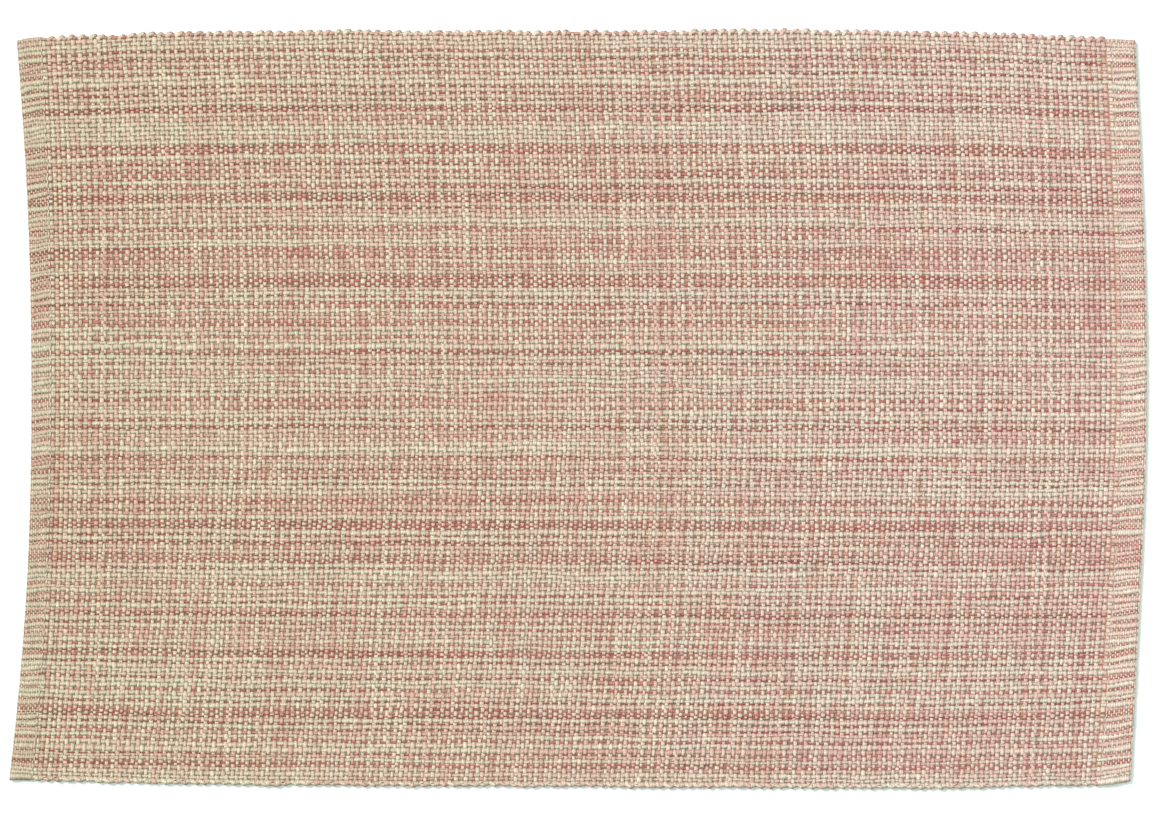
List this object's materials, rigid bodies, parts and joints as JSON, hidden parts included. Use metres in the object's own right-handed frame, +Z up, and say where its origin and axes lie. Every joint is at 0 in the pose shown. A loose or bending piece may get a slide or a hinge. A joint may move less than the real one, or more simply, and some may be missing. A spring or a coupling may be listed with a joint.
{
  "type": "fabric placemat",
  "caption": "Flat rectangular placemat of thick plain-weave cotton with looped selvedges and stitched end hems, laid under a place setting.",
  "frame": {"origin": "middle of the outline's box, on the flat underside", "axes": "+X along the mat's length, +Y across it to its far selvedge, +Z up out of its face"},
  "size_m": [0.4942, 0.3306, 0.0026],
  "materials": {
    "cloth": "matt plain weave of cream, rose and brick-red cotton yarns, thick across the body and fine in the end hems"
  },
  "bodies": {
    "root": {"placemat_cloth": "cloth"}
  },
  "joints": []
}
